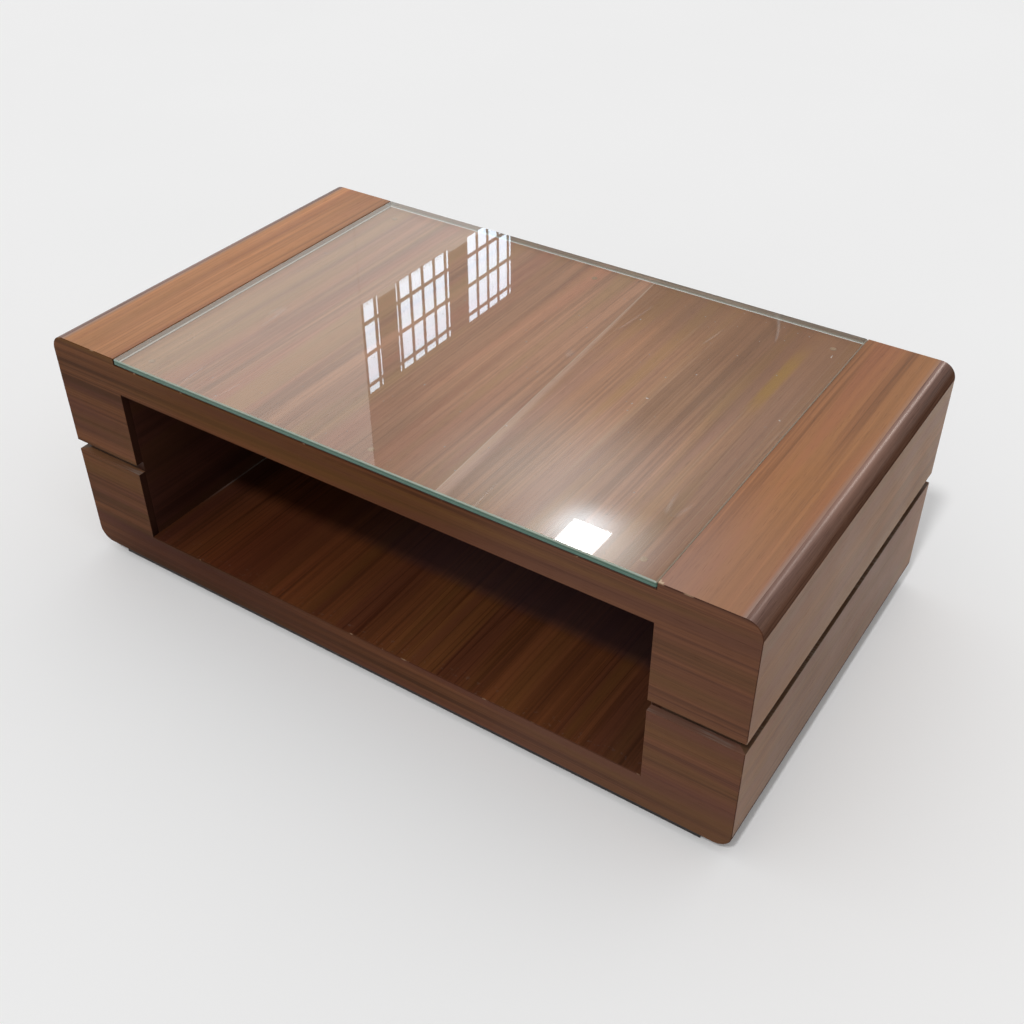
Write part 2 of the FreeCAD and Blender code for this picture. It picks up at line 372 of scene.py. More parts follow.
# %% Calm veneers
def end_veneer():
    """Ends of the towers: calm taupe, with painted shade and dust on the ledge of the shadow gap."""
    sheet = Veneer("end_veneer", "Y", 23.7)
    tints = ((0.280, 0.145, 0.053), 0.5), ((0.297, 0.128, 0.066), 0.5)
    colour = sheet.sheet((0.302, 0.134, 0.046), 0.20, *tints)
    _, y, z = sheet.split(sheet.board)
    colour = sheet.shade(y.fall(-0.33, 0.25), colour, (0.86, 0.84, 0.83))
    lower = z.fall(groove_low, groove_high) * abs(y - 0.02).fall(0.15, 0.36)
    colour = sheet.shade(lower, colour, (0.74, 0.73, 0.73))
    # The ledge in the shadow gap is darkened: painted shade, with dust on top.
    ledge = sheet.split(sheet.normal)[2].rise(*square_on)
    colour = sheet.mix(ledge, colour, (0.100, 0.052, 0.028))
    colour = sheet.mix(ledge * sheet.ledge_dust() * 0.4, colour, dust_grey)
    sheet.lacquered(sheet.worn(colour), 0.24)


def inner_veneer(name, along, seed):
    """Walls, ceiling and back of the compartment, stained dark."""
    sheet = Veneer(name, along, seed)
    colour = sheet.sheet((0.066, 0.022, 0.014), 0.30, ((0.080, 0.032, 0.012), 0.5))
    sheet.lacquered(sheet.worn(colour), 0.25)


end_veneer()
inner_veneer("inner_veneer", "Y", 47.2)
inner_veneer("back_veneer", "X", 43.6)

# %% [markdown]
# ## Top strips
# The raised strips are the reddest wood on the table, with amber and rosy bands and dark streaks of heart
# wood. The left one is lighter, partly in its own tone and partly as painted light, and deepens towards the
# glass. The right one turns rosy by the glass at its front, which is a painted sheen, and both are paler
# along the outer edge, partly from worn lacquer and partly as a painted highlight. Two materials could do
# this, but most layers are the same, so one finish asks on which side of the table it is. Thin veneer chips:
# one corner by the glass has lost a flake, which shows the pale wood below.

# %% Strip veneer
def strip_veneer():
    """Red-brown strips with amber and rosy bands and one chipped corner."""
    sheet = Veneer("strip_veneer", "Y", 3.1)
    x, y, _ = sheet.split(sheet.board)
    on_right = x > 0.0
    # The left strip is lighter, partly in its own tone and partly as painted light.
    left = sheet.sheet((0.607, 0.275, 0.115), 0.23)
    right = sheet.sheet((0.322, 0.136, 0.057), 0.28)
    colour = sheet.mix(on_right, left, right)
    heart = sheet.fibres("Y", 11.0, 0.04, 8.6, 1.0).rise(0.48, 0.62)
    colour = sheet.shade(heart * 0.5, colour, (0.76, 0.70, 0.66))
    colour = sheet.tinted(colour, ((0.395, 0.178, 0.064), 0.50), ((0.345, 0.124, 0.064), 0.45))
    colour = sheet.shade((1 - on_right) * x.rise(-0.565, -0.480), colour, (0.69, 0.69, 0.70))
    # Rosy at the front of the right strip, by the glass: a painted sheen.
    rosy = on_right * y.fall(-0.34, -0.05) * (0.30 + x.fall(0.47, 0.55) * 0.45)
    colour = sheet.mix(rosy, colour, (0.365, 0.210, 0.160))
    # Paler along the outer edge, most at the front: partly worn lacquer and partly a painted highlight.
    rubbed_and_highlight = (abs(x) - round_x).rise(-0.008, 0.0) * (0.5 + y.fall(-0.30, 0.10) * 0.5)
    colour = sheet.mix(rubbed_and_highlight * 0.8, colour, (0.330, 0.225, 0.185))
    corner = (strip_low.x, strip_low.y, strip_high.z)
    from_corner = sheet.vector("DISTANCE", sheet.board, corner, output="Value")
    flake = (from_corner + (sheet.even(240.0, 4.4) - 0.5) * 0.012).fall(0.0055, 0.0065)
    colour = sheet.mix(flake, sheet.worn(colour), (0.56, 0.40, 0.27))
    sheet.lacquered(colour, 0.34)


strip_veneer()

# %% [markdown]
# ## Front and back faces
# Here the grain lies flat, in narrow bands of brown, olive and plum with thin dark veins. The foot left of
# the middle is darkened as painted shade, the rail under the glass is warmer in its middle, and the right
# half is greyer. Dust lies on the ledge of the shadow gap, and the edges that look into the compartment are
# as dark as its walls. Such faces could be picked one by one, but a mask on the normal finds them on every
# board.

# %% Front veneer
def front_veneer():
    """Brown faces with level grain."""
    sheet = Veneer("front_veneer", "X", 11.4, sway=0.004)
    tints = ((0.152, 0.072, 0.021), 0.6), ((0.126, 0.044, 0.030), 0.6)
    colour = sheet.sheet((0.138, 0.054, 0.023), 0.42, *tints)
    colour = sheet.veined(colour, 0.4)
    sideways, _, upward = sheet.split(sheet.normal)
    ledge = upward.rise(*square_on)
    colour = sheet.mix(ledge * (0.10 + sheet.ledge_dust() * 0.6), colour, dust_grey)
    # The faces that look into the compartment are made as dark as its walls.
    colour = sheet.mix(abs(sideways).rise(*square_on), colour, (0.050, 0.019, 0.012))
    x, _, z = sheet.split(sheet.board)
    # The foot left of the middle is darkened as painted shade.
    painted_shade_foot = x.rise(-0.70, -0.45) * x.fall(-0.38, 0.22) * z.fall(shelf_z - 0.02, shelf_z + 0.04)
    colour = sheet.shade(painted_shade_foot, colour, (0.46, 0.39, 0.44))
    dim_rail = abs(x + 0.1).fall(0.15, 0.40) * z.rise(0.30, 0.35)
    colour = sheet.shade(dim_rail, colour, (0.85, 0.77, 0.66))
    colour = sheet.mix(x.rise(0.10, 0.35) * 0.22, colour, (0.235, 0.130, 0.105))
    sheet.lacquered(sheet.worn(colour), 0.04)


front_veneer()

# %% [markdown]
# ## The shelf
# The floor of the compartment has the boldest figure: sharp dark lines in clusters between golden patches.
# It is darker and redder at the left front, and beside the walls it is darker and colder as painted shade.
# Further in, where the shade lies, a greyish haze is painted as a reflection in the lacquer. Use has scuffed
# the front edge grey. A pale line runs along the foot of the left wall. It could be a thin mesh, but it is
# flush with the board, so a mask a few millimetres wide does.

# %% Shelf veneer
def shelf_veneer():
    """Dark shelf with sharp lines, a scuffed front edge, painted shade and haze, and a pale line by the left
    wall.
    """
    sheet = Veneer("shelf_veneer", "Y", 31.9)
    tints = ((0.138, 0.053, 0.015), 0.5), ((0.096, 0.028, 0.015), 0.5)
    colour = sheet.sheet((0.112, 0.036, 0.0130), 0.34, *tints)
    colour = sheet.veined(colour, 0.6)
    x, y, _ = sheet.split(sheet.board)
    scuffs = sheet.even(150.0, 35.2, 3.0).rise(0.60, 0.72) * y.fall(-face_y, 0.03 - face_y)
    colour = sheet.mix(scuffs * 0.18, colour, (0.20, 0.155, 0.125))
    # Darker and redder towards the left front.
    colour = sheet.shade(x.fall(-0.35, 0.05) * y.fall(-0.25, 0.05), colour, (0.82, 0.68, 0.60))
    # Darker and colder beside the walls: painted shade.
    colour = sheet.shade(abs(x).rise(0.30, 0.45), colour, (0.70, 0.78, 1.0))
    # A greyish haze further in, where the shade lies: a painted reflection in the lacquer.
    painted_haze = y.rise(-0.165, -0.125) * x.rise(-0.30, 0.05)
    colour = sheet.mix(painted_haze * 0.4, colour, (0.180, 0.105, 0.120))
    # A pale line along the foot of the left wall.
    pale_wall_line = (x + tower_x).fall(0.003, 0.004) * y.rise(-0.25, 0.15)
    colour = sheet.mix(pale_wall_line * 0.6, sheet.worn(colour), (0.72, 0.70, 0.66))
    sheet.lacquered(colour, 0.14)


shelf_veneer()

# %% [markdown]
# ## The deck under the glass
# The top slab is veneered with two leaves that meet in one slanting line. The left leaf is browner near the
# joint at the front. The right one has pale threads, pale, rosy and dark bands, a browner back and an amber
# streak, and along the joint a pale pink painted highlight that narrows to the back. The front rim is
# painted nearly black, as the shadow in the gap under the glass. The leaves could be two meshes, but on the
# real table they are one board, so one finish holds both and a mask on X and Y tells them apart.

# %% Deck veneer
joint_front_x, joint_back_x = 0.129, 0.092
amber_x, amber_y = 0.388, 0.17


def left_leaf(sheet, x, y):
    """Rosy leaf, with a pale and a dark band near the middle of the table."""
    tints = ((0.520, 0.215, 0.140), 0.5), ((0.480, 0.275, 0.130), 0.5)
    leaf = sheet.sheet((0.490, 0.243, 0.152), 0.23, *tints)
    leaf = sheet.shade(y.fall(-0.32, 0.02) * x.rise(-0.25, -0.02) * 0.6, leaf, (0.70, 0.68, 0.66))
    leaf = sheet.shade(abs(x).fall(0.0, 0.04) * y.rise(-0.25, -0.10), leaf, (1.17, 1.16, 1.12))
    return sheet.shade(abs(x + 0.055).fall(0.01, 0.05) * y.rise(-0.23, -0.17), leaf, (0.91, 0.90, 0.87))


def right_leaf(sheet, x, y, beyond):
    """Brown leaf with pale threads, several bands and the painted highlight along the joint."""
    tints = ((0.400, 0.200, 0.145), 0.5), ((0.420, 0.225, 0.090), 0.6)
    leaf = sheet.sheet((0.425, 0.212, 0.124), 0.22, *tints)
    thread = abs(sheet.fibres("Y", 44.0, 0.005, 5.9, 1.0) - 0.5).fall(0.0, 0.022)
    leaf = sheet.mix(thread * 0.35, leaf, (0.560, 0.340, 0.230))
    leaf = sheet.mix(y.rise(-0.05, 0.35) * (0.2 + sheet.bands * 0.8), leaf, (0.345, 0.135, 0.046))
    pale = abs(x - 0.175).fall(0.02, 0.11) * abs(y - 0.04).fall(0.08, 0.26)
    leaf = sheet.shade(pale, leaf, (1.36, 1.33, 1.36))
    rosy = abs(x - 0.355).fall(0.02, 0.06) * y.fall(-0.05, 0.08)
    leaf = sheet.shade(rosy, leaf, (1.15, 1.15, 1.25))
    dark = abs(x - 0.33).fall(0.03, 0.07) * y.rise(0.05, 0.20)
    leaf = sheet.shade(dark, leaf, (0.89, 0.85, 0.83))
    # A pale pink band along the joint, narrowing to the back: a painted highlight.
    joint_highlight_width = 0.0135 - y * 0.036
    joint_highlight = (beyond / joint_highlight_width).fall(0.3, 1.0)
    return sheet.mix(joint_highlight * (0.25 + sheet.streaks * 0.6), leaf, (0.68, 0.42, 0.33))


def deck_veneer():
    """Two leaves of veneer with their joint, grain along Y."""
    sheet = Veneer("deck_veneer", "Y", 5.3)
    x, y, _ = sheet.split(sheet.board)
    middle_x = (joint_front_x + joint_back_x) / 2
    slope = (joint_back_x - joint_front_x) / (2 * rim_y)
    beyond = x - (y * slope + middle_x)
    colour = sheet.mix(beyond.rise(-0.0004, 0.0004), left_leaf(sheet, x, y), right_leaf(sheet, x, y, beyond))
    amber = abs(x - amber_x).fall(0.004, 0.014) * abs(y - amber_y).fall(0.03, 0.13)
    colour = sheet.mix(amber * 0.85, colour, (0.45, 0.225, 0.048))
    joint = abs(beyond).fall(0.0002, 0.0012)
    colour = sheet.mix(joint * 0.7, colour, (0.62, 0.46, 0.36))
    # The nearly black front rim is painted shadow in the gap under the front edge of the glass.
    colour = sheet.mix(y.fall(0.003 - rim_y, 0.006 - rim_y), colour, (0.040, 0.019, 0.011))
    sheet.lacquered(colour, 0.25)


deck_veneer()
print(f"Deck joint from x = {joint_front_x} m at the front to x = {joint_back_x} m at the back")

# %% [markdown]
# ## Solid lippings
# The round edges are solid wood, because veneer would crack round so tight a bend. The wood took the stain
# greyer and more purple than the sheets. It is painted darker where it turns outwards, as painted shade, and
# paler in the middle of the top edge, as a painted highlight. The lacquer shines only where the round faces
# up or down. The veneer could serve here, but solid wood has open grain and no leaf bands, so it gets a
# simpler finish.

# %% Lipping wood
def lipping_wood():
    """Grey-purple solid wood with open grain along Y."""
    finish = Finish("lipping_wood")
    streaks = finish.fibres("Y", 120.0, 0.02, 13.0, 3.0, 0.3)
    fine = finish.fibres("Y", 520.0, 0.02, 14.2)
    pores = finish.fibres("Y", 1100.0, 0.03, 15.8, 1.0).rise(0.58, 0.68)
    tone = (streaks * 0.6 + fine * 0.4 - 0.5) * 1.2 + 0.5
    stops = [(0.34, (0.165, 0.093, 0.074)), (0.50, (0.220, 0.126, 0.100)), (0.66, (0.280, 0.165, 0.132))]
    colour = finish.shade(pores * 0.4, finish.ramp(tone, stops), dark_stain)
    scuffs = finish.even(38.0, 16.4, 3.0).rise(0.60, 0.74)
    colour = finish.mix(scuffs * 0.15, colour, (0.32, 0.22, 0.17))
    outward, _, upward = finish.split(finish.vector("ABSOLUTE", finish.normal))
    # Paler in the middle of the top edge: a painted highlight.
    painted_highlight = abs(finish.split(finish.place)[1]).fall(0.02, 0.25) * upward.rise(0.6, 0.95)
    colour = finish.mix(painted_highlight * 0.5, colour, (0.340, 0.190, 0.140))
    # Darker where the round turns outwards: painted shade.
    colour = finish.shade(outward.rise(0.25, 0.80), colour, (0.52, 0.44, 0.36))
    lacquer = upward.rise(0.45, 0.85) * (0.55 - scuffs * 0.2)
    roughness = 0.45 + (fine - 0.5) * 0.10 + scuffs * 0.05
    relief = finish.bump(fine * 0.5 - pores * 0.5, 0.0001, 0.1)
    varying = {"Base_Color": colour, "Roughness": roughness, "Coat_Weight": lacquer, "Normal": relief}
    finish.opaque(**varying, Specular_IOR_Level=0.0, Coat_Roughness=0.26)


lipping_wood()

# %% [markdown]
# ## Boards that are stained or painted
# The back of the shadow gap and the underside are plain board with a dark stain, and the plinth is painted
# nearly black so that it drops out of sight. One dark colour would do from afar. Up close a stain soaks in
# unevenly and a roller leaves a fine skin, so both are mottled, and the paint has scuffs low down where
# feet reach it.

# %% Stained and painted board
def stained_board(name, dark, pale, seed):
    """Fibreboard with a stain that soaked in unevenly."""
    finish = Finish(name)
    mottle = finish.even(24.0, seed, 4.0)
    chips = finish.even(620.0, seed + 1)
    colour = finish.tones(mottle * 0.6 + chips * 0.4, 0.14, dark, pale)
    roughness = 0.62 + (mottle - 0.5) * 0.3
    finish.opaque(Base_Color=colour, Roughness=roughness, Normal=finish.bump(chips, 0.0002, 0.3))


def plinth_paint():
    """Matt black-brown paint, rolled on, with scuffs near the floor."""
    finish = Finish("plinth_paint")
    skin = finish.even(900.0, 61.0)
    cloud = finish.even(14.0, 62.0, 3.0)
    height = finish.split(finish.place)[2]
    scuff = finish.noise((40.0, 40.0, 420.0), 63.0, 3.0).rise(0.55, 0.68) * height.fall(0.004, plinth_top)
    colour = finish.tones(cloud, 0.15, (0.010, 0.008, 0.007), (0.022, 0.017, 0.015))
    colour = finish.mix(scuff * 0.5, colour, (0.11, 0.095, 0.085))
    roughness = 0.55 + (cloud - 0.5) * 0.25
    finish.opaque(Base_Color=colour, Roughness=roughness, Normal=finish.bump(skin, 0.0002, 0.3))


stained_board("reveal_stain", (0.050, 0.024, 0.012), (0.095, 0.048, 0.025), 51.0)
stained_board("underside_board", (0.070, 0.040, 0.026), (0.120, 0.072, 0.048), 55.0)
plinth_paint()

# %% [markdown]
# ## Wood inside the table
# Softwood battens space the skins of each slab, and beech dowels join slabs and towers. Nobody sees them
# until the table is taken apart. Pine has wide soft rings in pale and amber, and beech is an even pink-tan
# with thousands of small dark flecks. One plain wood could stand for both, but the drawn-out noise is there
# already, and other sizes make another wood.

# %% Softwood and beech
def core_softwood():
    """Sawn softwood, rings along the batten, which runs along Y."""
    finish = Finish("core_wood")
    rings = finish.fibres("Y", 90.0, 0.015, 71.0, 2.0, 0.6)
    fine = finish.fibres("Y", 600.0, 0.02, 72.0)
    saw = finish.noise((20.0, 420.0, 20.0), 73.0, 1.0)
    colour = finish.tones(rings * 0.75 + fine * 0.25, 0.12, (0.36, 0.22, 0.11), (0.58, 0.43, 0.26))
    relief = finish.bump(fine * 0.5 + saw * 0.5, 0.0004, 0.4)
    finish.opaque(Base_Color=colour, Roughness=0.66 + (saw - 0.5) * 0.2, Normal=relief)


def dowel_beech():
    """Beech with its dark flecks, grain along X."""
    finish = Finish("dowel_beech")
    fine = finish.fibres("X", 800.0, 0.03, 81.0)
    flecks = finish.fibres("X", 1500.0, 0.12, 82.0, 1.0).rise(0.62, 0.70)
    colour = finish.tones(fine, 0.15, (0.47, 0.31, 0.18), (0.60, 0.42, 0.26))
    colour = finish.shade(flecks * 0.6, colour, (0.55, 0.42, 0.34))
    finish.opaque(Base_Color=colour, Roughness=0.58 + (fine - 0.5) * 0.3)


core_softwood()
dowel_beech()

# %% [markdown]
# ## Small hardware
# Zinc-plated screws have a blotchy, slightly yellow skin. The glides are moulded plastic with a fine spark
# texture, polished where they slide. The bumpers are a soft polymer that was clear once and has yellowed.
# All could share one grey, but gloss tells such small pieces apart more than colour does, so each gets its
# own roughness.

# %% Hardware finishes
def screw_steel():
    """Zinc plating, blotched by handling."""
    finish = Finish("screw_steel")
    blotch = finish.even(420.0, 91.0, 3.0)
    fine = finish.even(2600.0, 92.0)
    colour = finish.tones(blotch, 0.14, (0.46, 0.43, 0.36), (0.66, 0.65, 0.61))
    finish.opaque(Base_Color=colour, Metallic=1.0, Roughness=0.28 + blotch * 0.2 + fine * 0.1)


def glide_plastic():
    """Dark moulded plastic, polished towards the floor."""
    finish = Finish("glide_plastic")
    spark = finish.even(2400.0, 95.0)
    cloud = finish.even(120.0, 96.0)
    colour = finish.tones(cloud, 0.15, (0.022, 0.018, 0.015), (0.040, 0.034, 0.028))
    polished = finish.split(finish.place)[2].fall(0.0002, 0.0012)
    relief = finish.bump(spark, 0.0001, 0.3)
    finish.opaque(Base_Color=colour, Roughness=0.55 - polished * 0.22, Normal=relief)


def clear_bumper():
    """Soft polymer, once clear, that has yellowed and lets little light through."""
    finish = Finish("clear_bumper")
    cloud = finish.even(700.0, 98.0, 3.0)
    see = finish.node("ShaderNodeBsdfTransparent", sockets={"Color": (0.985, 0.985, 0.98, 1.0)})
    colour = finish.tones(cloud, 0.15, (0.44, 0.25, 0.145), (0.50, 0.30, 0.180))
    body = finish.principled(Base_Color=colour, Roughness=0.24 + cloud * 0.2)
    finish.done(finish.blend(0.90 + cloud * 0.10, see, body))


screw_steel()
glide_plastic()
clear_bumper()

# %% [markdown]
# ## The glass pane
# Float glass is clear from above and green from the side, where light crosses a long way of it. A true glass
# shader bends light, and then lamps reach the deck only by slow, noisy caustics. A thin flat pane hardly
# bends anything, so it is mixed from a Transparent and a Glossy shader, with Fresnel for the share that is
# mirrored. Both faces of a pane mirror, so the front one does it for both. Seen from within, Fresnel would
# mirror everything past a flat angle, so back faces are kept out. A film of dust, specks and hairline
# scratches is a third shader, mixed in weakly. From outside the edges are green, with a painted highlight on
# the upper arrises and painted shade on the lower ones. Seen through the pane they are half a mirror,
# streaked by the grinding, with frosted chamfers.

# %% Faces of the pane
def hairlines(finish, scales, turn, seed):
    """Long thin scratches in one direction, broken up at random."""
    turned = {"Vector": finish.place, "Rotation": (0.0, 0.0, turn), "Scale": scales}
    spread = finish.node("ShaderNodeMapping", sockets={**turned, "Location": (seed, seed, 0.0)})
    line = finish.node("ShaderNodeTexNoise", sockets={"Vector": spread, "Scale": 1.0, "Detail": 0.0})
    broken = finish.even(5.0, seed + 1).rise(0.56, 0.64)
    return abs(line - 0.5).fall(0.0, 0.004) * broken


def tinted_shader(finish, kind, colour, **sockets):
    """Transparent or Glossy shader of one colour."""
    return finish.node(f"ShaderNodeBsdf{kind}", sockets={"Color": (*colour, 1.0), **sockets})


def pane_faces(finish, backfacing):
    """The two broad faces: clear, mirroring, a little dusty."""
    single = finish.node("ShaderNodeFresnel", sockets={"IOR": 1.5})
    mirrored = 2 * single / (1 + single) * (1 - backfacing)
    clear = tinted_shader(finish, "Transparent", (0.965, 0.985, 0.972))
    pane = finish.blend(mirrored, clear, tinted_shader(finish, "Glossy", (1.0, 1.0, 1.0), Roughness=0.012))
    film = finish.even(3.0, 101.0, 3.0).rise(0.35, 0.75) * 0.012
    specks = finish.even(160.0, 102.0, 1.0).rise(0.775, 0.80) * 0.5
    scratches = hairlines(finish, (9.0, 0.7, 1.0), 0.5, 103.0)
    scratches = scratches + hairlines(finish, (7.0, 0.5, 1.0), -0.9, 105.0)
    dust = film + specks + scratches * 0.14
    grey = finish.principled(Base_Color=(0.72, 0.70, 0.67, 1.0), Roughness=0.8)
    return finish.blend(dust * (1 - backfacing), pane, grey)


print("Pane faces ready")

# %% Edges of the pane
def pane_edges(finish, backfacing, sideways, lift):
    """The four narrow edges: green from outside, with a painted highlight on the upper arris and painted
    shade on the lower one; half mirror and frosted from within.
    """
    low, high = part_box("glass_pane")
    core_z = low.z + 0.62 * (high.z - low.z)
    upper_chamfer, lower_chamfer = lift.rise(0.2, 0.4), lift.fall(-0.4, -0.2)
    end = abs(sideways).rise(0.3, 0.5)
    polish = finish.noise((3.0, 3.0, 900.0), 107.0)
    # The paler upper arris is a painted highlight.
    arris_highlight_colour = finish.mix(end, (0.56, 0.70, 0.63), (0.50, 0.41, 0.34))
    colour = finish.mix(upper_chamfer, (0.105, 0.225, 0.175), arris_highlight_colour)
    # The dark lower arris is painted shade.
    colour = finish.mix(lower_chamfer, colour, (0.025, 0.050, 0.040))
    core = abs(finish.split(finish.place)[2] - core_z).fall(0.0003, 0.0012)
    colour = finish.shade(core * 0.8 + polish * 0.2, colour, (0.36, 0.50, 0.45))
    body = finish.principled(Base_Color=colour, Roughness=0.10 + polish * 0.1)
    green = tinted_shader(finish, "Transparent", (0.62, 0.74, 0.66))
    outside = finish.blend(0.88 - upper_chamfer * 0.30, green, body)
    mirror = tinted_shader(finish, "Glossy", (0.60, 0.63, 0.58), Roughness=0.03)
    streaked = finish.mix(polish.rise(0.40, 0.60), (0.40, 0.37, 0.32), (0.68, 0.63, 0.56))
    frost = finish.mix(end, (0.36, 0.32, 0.27), (0.95, 0.88, 0.80))
    matt = {"Roughness": 0.6, "Specular_IOR_Level": 0.0}
    side = finish.blend(0.5, mirror, finish.principled(Base_Color=streaked, **matt))
    chamfer = finish.blend(0.85, green, finish.principled(Base_Color=frost, **matt))
    inside = finish.blend(upper_chamfer + lower_chamfer, side, chamfer)
    return finish.blend(backfacing, outside, inside)


def pane_glass():
    """Clear float glass with green polished edges."""
    finish = Finish("glass")
    sideways, _, lift = finish.split(finish.normal)
    backfacing = finish.node("ShaderNodeNewGeometry", output="Backfacing")
    edges = pane_edges(finish, backfacing, sideways, lift)
    finish.done(finish.blend(abs(lift).rise(0.90, 0.97), edges, pane_faces(finish, backfacing)))


pane_glass()

# %% [markdown]
# ## Dress the solids
# Each solid has a material slot, and the record says which finish belongs in it. New meshes could be made
# to carry the finishes, but only the slots have to change: the meshes of the solids stay as they are.

# %% Put the finishes on
finish_names = {part["node"]: part["material_slot"] for part in frame["record"]["subparts"]}
finish_names["back_panel"] = "back_veneer"
for node, finish_name in finish_names.items():
    for slot in frame["nodes"][node].material_slots:
        slot.material = finishes[finish_name]
print("Dressed", len(finish_names), "solids with", len(finishes), "finishes")

# %% [markdown]
# ## Pieces grown by rules
# Some pieces need a finer mesh than the solids have: a glossy round edge shows every facet. Each is a rule
# more than a shape, so a Geometry Nodes tree makes it from named sizes. The result is then kept as a plain
# mesh, with its normals pointing outwards, because a mirrored rule turns its faces inside out.

# %% Rules
class Rule(Graph):
    """A Geometry Nodes tree with named sizes."""

    def __init__(self, name):
        super().__init__(bpy.data.node_groups.new(name, "GeometryNodeTree"))
        self.identifiers = {}
        self.tree.interface.new_socket("Geometry", in_out="OUTPUT", socket_type="NodeSocketGeometry")
        self.places = self.size("Places", "Geometry")

    def size(self, label, kind="Float"):
        """Add a named input and hand back its value."""
        made = self.tree.interface.new_socket(label, in_out="INPUT", socket_type="NodeSocket" + kind)
        self.identifiers[label] = made.identifier
        return self.node("NodeGroupInput", output=label)

    def sizes(self, *labels):
        """Add several named inputs."""
        return [self.size(label) for label in labels]

    def position(self):
        """The three coordinates of the point that a node works on."""
        return self.split(self.node("GeometryNodeInputPosition"))

    def moved(self, mesh, x, y, z):
        """The mesh with each point at a new place."""
        place = self.node("ShaderNodeCombineXYZ", sockets={"X": x, "Y": y, "Z": z})
        return self.node("GeometryNodeSetPosition", sockets={"Geometry": mesh, "Position": place})

    def creased(self, mesh, degrees=30.0):
        """The mesh, shaded smooth but for edges sharper than an angle."""
        smooth = self.node("GeometryNodeSetShadeSmooth", sockets={"Geometry": mesh})
        bend = self.node("GeometryNodeInputMeshEdgeAngle", output="Unsigned Angle")
        sockets = {"Geometry": smooth, "Name": "sharp_edge", "Value": bend > math.radians(degrees)}
        settings = {"data_type": "BOOLEAN", "domain": "EDGE"}
        return self.node("GeometryNodeStoreNamedAttribute", settings, sockets)

    def deliver(self, mesh):
        """End the tree: real geometry with its finish on."""
        real = self.node("GeometryNodeRealizeInstances", sockets={"Geometry": mesh})
        dressed = {"Geometry": real, "Material": self.size("Finish", "Material")}
        final = self.node("GeometryNodeSetMaterial", sockets=dressed)
        self.node("NodeGroupOutput", sockets={"Geometry": final}, output=None)

    def deliver_on_places(self, mesh):
        """End the tree with the mesh on every place."""
        sockets = {"Points": self.places, "Instance": mesh}
        self.deliver(self.node("GeometryNodeInstanceOnPoints", sockets=sockets))


print("Rule class ready")

# %% From rule to piece
def grow(name, rule, slot, replaced, places=(), **sizes):
    """Run a rule once, keep its result as a plain mesh, and let it stand for a CAD node."""
    points = bpy.data.meshes.new(name)
    points.from_pydata(places, [], [])
    piece = bpy.data.objects.new(name, points)
    modifier = piece.modifiers.new("rule", "NODES")
    modifier.node_group = rule.tree
    for label, value in {**sizes, "Finish": finishes[slot]}.items():
        modifier[rule.identifiers[label.replace("_", " ")]] = value
    scene.collection.objects.link(piece)
    mesh = bpy.data.meshes.new_from_object(piece.evaluated_get(bpy.context.evaluated_depsgraph_get()))
    piece.modifiers.remove(modifier)
    piece.data = mesh
    shell = bmesh.new()
    shell.from_mesh(mesh)
    bmesh.ops.recalc_face_normals(shell, faces=shell.faces)
    shell.to_mesh(mesh)
    shell.free()
    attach(piece, "carcass")
    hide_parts(replaced)
    print(f"{name}: {len(mesh.polygons)} faces")


print("Grown pieces ride on the carcass")

# %% [markdown]
# ## Round lippings
# A lipping is a quarter of a round bar with mitred ends. A bar could be swept along a curve, but its ends
# have to match the mitre of the front facing. So the rule starts from a plain block, which is closed, and
# bends it: across the block becomes the radius, its height becomes the angle, and its length stays, drawn
# back at the mitre.

# %% Quarter-round rule
def quarter_round_rule(steps=24):
    """Block bent into a quarter round with mitred ends."""
    rule = Rule("quarter_round")
    side, up, centre_x, centre_z = rule.sizes("Side", "Up", "Centre X", "Centre Z")
    radius, mitre, outer_y, inner_y = rule.sizes("Radius", "Mitre", "Outer Y", "Inner Y")
    counts = {"Size": (1.0, 1.0, 1.0), "Vertices X": 3, "Vertices Y": 2, "Vertices Z": steps + 1}
    block = rule.node("GeometryNodeMeshCube", sockets=counts, output="Mesh")
    across, length, height = rule.position()
    share = across + 0.5
    heel_share = 1 - mitre / radius
    distance = radius * (share + (heel_share - 0.5) * 4 * share * (1 - share))
    angle = (height + 0.5) * math.radians(90)
    beyond_heel = ((distance - (radius - mitre)) / mitre).math("MAXIMUM", 0.0)
    reach = inner_y + beyond_heel * (outer_y - inner_y)
    x = side * (centre_x + distance * angle.math("COSINE"))
    z = centre_z + up * distance * angle.math("SINE")
    bent = rule.moved(block, x, length * 2 * reach, z)
    whole = rule.node("GeometryNodeMergeByDistance", sockets={"Geometry": bent, "Distance": 1e-5})
    rule.deliver(rule.creased(whole))
    return rule


lipping_rule = quarter_round_rule()
for side_name, side in (("left", -1.0), ("right", 1.0)):
    for level, centre_z, up in (("top", cap_z, 1.0), ("base", foot_z, -1.0)):
        node = f"{side_name}_{level}_lipping"
        grow(
            f"{node}_round", lipping_rule, "lipping_wood", node, Side=side, Up=up, Centre_X=round_x,
            Centre_Z=centre_z, Radius=corner_radius, Mitre=facing_thickness, Outer_Y=rim_y, Inner_Y=face_y,
        )

# %% [markdown]
# ## Turned hardware
# Bumpers, glides, screws and dowels all turn about an axis and come in sets. Each could be spun by hand,
# but a set is one rule: a cylinder whose radius follows a profile curve, put on every place where the
# solids have one. The screws get a real thread, which winds because the angle is added to the height, and a
# cross slot cut by a Boolean. Bumpers and glides end a hair below what lies on them, so that no two faces
# share a plane.

